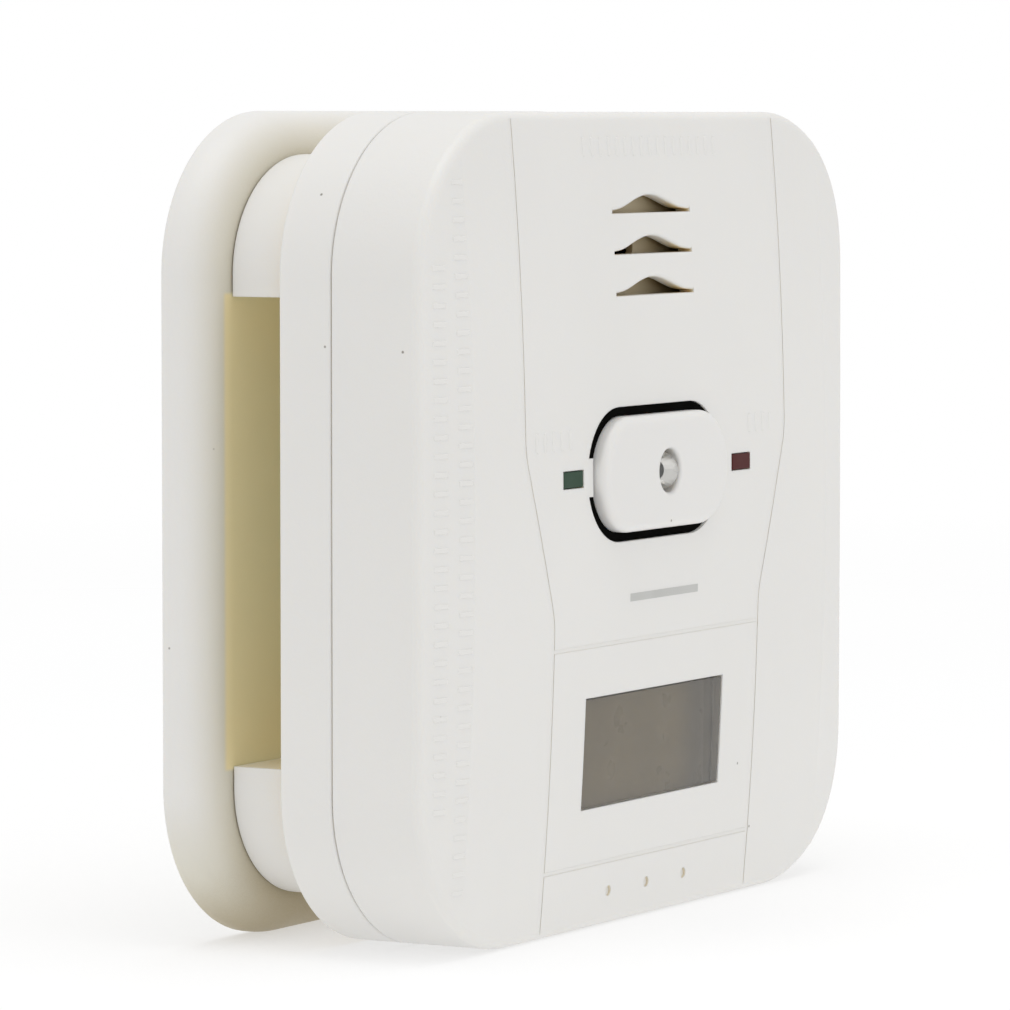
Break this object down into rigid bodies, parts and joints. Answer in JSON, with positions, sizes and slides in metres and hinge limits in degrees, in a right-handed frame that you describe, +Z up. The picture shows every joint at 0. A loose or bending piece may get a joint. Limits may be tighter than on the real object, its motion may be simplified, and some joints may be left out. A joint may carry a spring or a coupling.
{
  "type": "carbon monoxide alarm",
  "caption": "Wall-mounted battery carbon monoxide alarm with a display, a test button and lamps, hung by hooks on a round-edged mounting plate.",
  "frame": {"origin": "on the wall, at the middle of the mounting plate's back", "axes": "+X to the right as seen from the room, +Y into the wall, +Z up"},
  "size_m": [0.1124, 0.0401, 0.1006],
  "materials": {
    "white_plastic": "finely textured, warm off-white",
    "button_plastic": "smooth satin, warm off-white",
    "black_rubber": "soft matt black",
    "black_plastic": "moulded black",
    "green_lens": "dark green diffused lens",
    "red_lens": "dark red diffused lens",
    "clear_lens": "clear epoxy",
    "tinned_metal": "tinned",
    "display_window": "smoked clear plastic",
    "display_glass": "grey-brown liquid crystal glass, unlit",
    "inner_plastic": "natural white, as moulded",
    "strip_rubber": "silicone with fine conductive stripes",
    "board_laminate": "green solder mask",
    "can_aluminium": "bright can",
    "ferrite": "dark grey ferrite",
    "copper_wire": "enamelled copper wire",
    "disc_brass": "rolled brass",
    "piezo_ceramic": "fired, silvered",
    "sensor_steel": "pressed stainless",
    "cell_jacket": "printed jacket, plain",
    "spring_steel": "nickel plated",
    "screw_steel": "zinc plated"
  },
  "bodies": {
    "plate": {"mounting_plate": "white_plastic"},
    "alarm": {"rear_cover": "white_plastic", "front_cover": "white_plastic", "button_seal": "black_rubber", "switch_base": "black_plastic", "green_lamp": "green_lens", "red_lamp": "red_lens", "power_lamp": "clear_lens", "lamp_leads": "tinned_metal", "display_lens": "display_window", "display_panel": "display_glass", "display_frame": "inner_plastic", "display_connectors": "strip_rubber", "circuit_board": "board_laminate", "board_chips": "black_plastic", "capacitors": "can_aluminium", "horn_coil": "ferrite", "horn_winding": "copper_wire", "horn_case": "inner_plastic", "horn_disc": "disc_brass", "horn_ceramic": "piezo_ceramic", "sensor_body": "inner_plastic", "sensor_cap": "sensor_steel", "sensor_pins": "tinned_metal", "battery_cell_left": "cell_jacket", "battery_cell_middle": "cell_jacket", "battery_cell_right": "cell_jacket", "contact_plates": "spring_steel", "contact_springs": "spring_steel", "housing_screws": "screw_steel", "board_screws": "screw_steel"},
    "button": {"test_button": "button_plastic"},
    "plunger": {"switch_plunger": "black_plastic"},
    "door": {"battery_door": "white_plastic"}
  },
  "joints": [
    {"name": "alarm_lift", "type": "slide", "parent": "plate", "child": "alarm", "axis": [0, 0, 1], "range_m": [0, 0.006]},
    {"name": "button_press", "type": "slide", "parent": "alarm", "child": "button", "axis": [0, 1, 0], "range_m": [0, 0.0006], "stiffness_N_per_m": 1200, "springref_m": -0.0003},
    {"name": "plunger_press", "type": "slide", "parent": "alarm", "child": "plunger", "axis": [0, 1, 0], "range_m": [0, 0.0003]},
    {"name": "door_slide", "type": "slide", "parent": "alarm", "child": "door", "axis": [0, 0, 1], "range_m": [0, 0.006]}
  ],
  "couplings": [
    {"joint": "plunger_press", "follows": "button_press", "ratio": 0.5}
  ]
}
